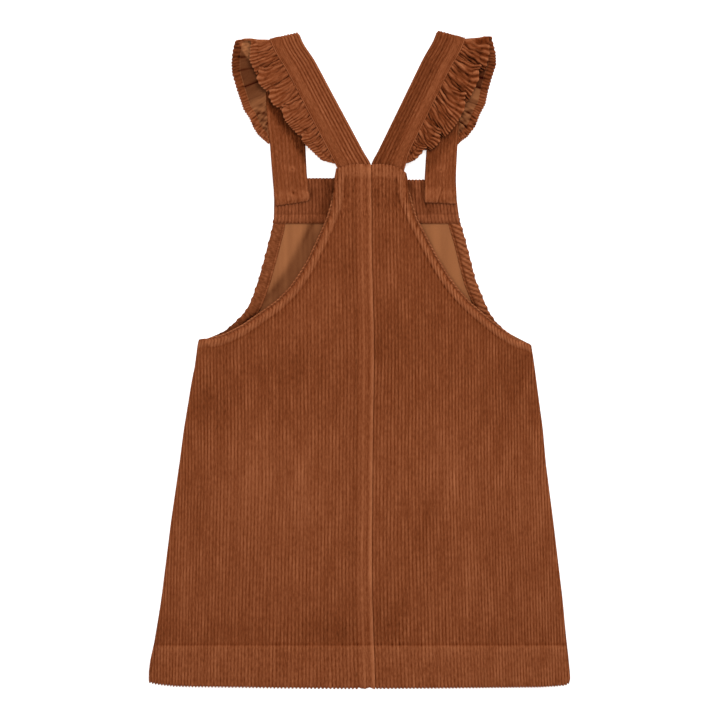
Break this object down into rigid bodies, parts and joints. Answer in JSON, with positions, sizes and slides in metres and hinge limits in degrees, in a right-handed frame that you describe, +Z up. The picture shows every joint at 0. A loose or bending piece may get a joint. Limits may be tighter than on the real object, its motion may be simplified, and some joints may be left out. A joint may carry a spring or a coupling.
{
  "type": "pinafore dress",
  "caption": "Child's wide-wale corduroy pinafore dress laid flat back up, with a bib, crossed-over back straps folded at the shoulder and gathered ruffles along them",
  "frame": {"origin": "Centre of the bounding box on the surface that the dress lies on.", "axes": "+X towards the right of the dress as it lies back up, +Y from hem to shoulders, +Z up from the surface, out of the back."},
  "size_m": [0.3866, 0.606, 0.01],
  "materials": {
    "corduroy": "rust-brown cotton corduroy, napped wales",
    "corduroy_wrong_side": "smooth matt back of the corduroy",
    "corduroy_on_the_bias": "corduroy cut aslant to its wales",
    "corduroy_ruffle": "gathered corduroy, napped wales"
  },
  "bodies": {
    "root": {"front_panel": "corduroy_wrong_side", "bib_facing": "corduroy", "front_armhole_facing_left": "corduroy_on_the_bias", "front_armhole_facing_right": "corduroy_on_the_bias", "back_left": "corduroy", "back_right": "corduroy", "back_armhole_facing_left": "corduroy_on_the_bias", "back_armhole_facing_right": "corduroy_on_the_bias", "strap_left": "corduroy", "strap_right": "corduroy", "ruffle_left": "corduroy_ruffle", "ruffle_right": "corduroy_ruffle"}
  },
  "joints": []
}
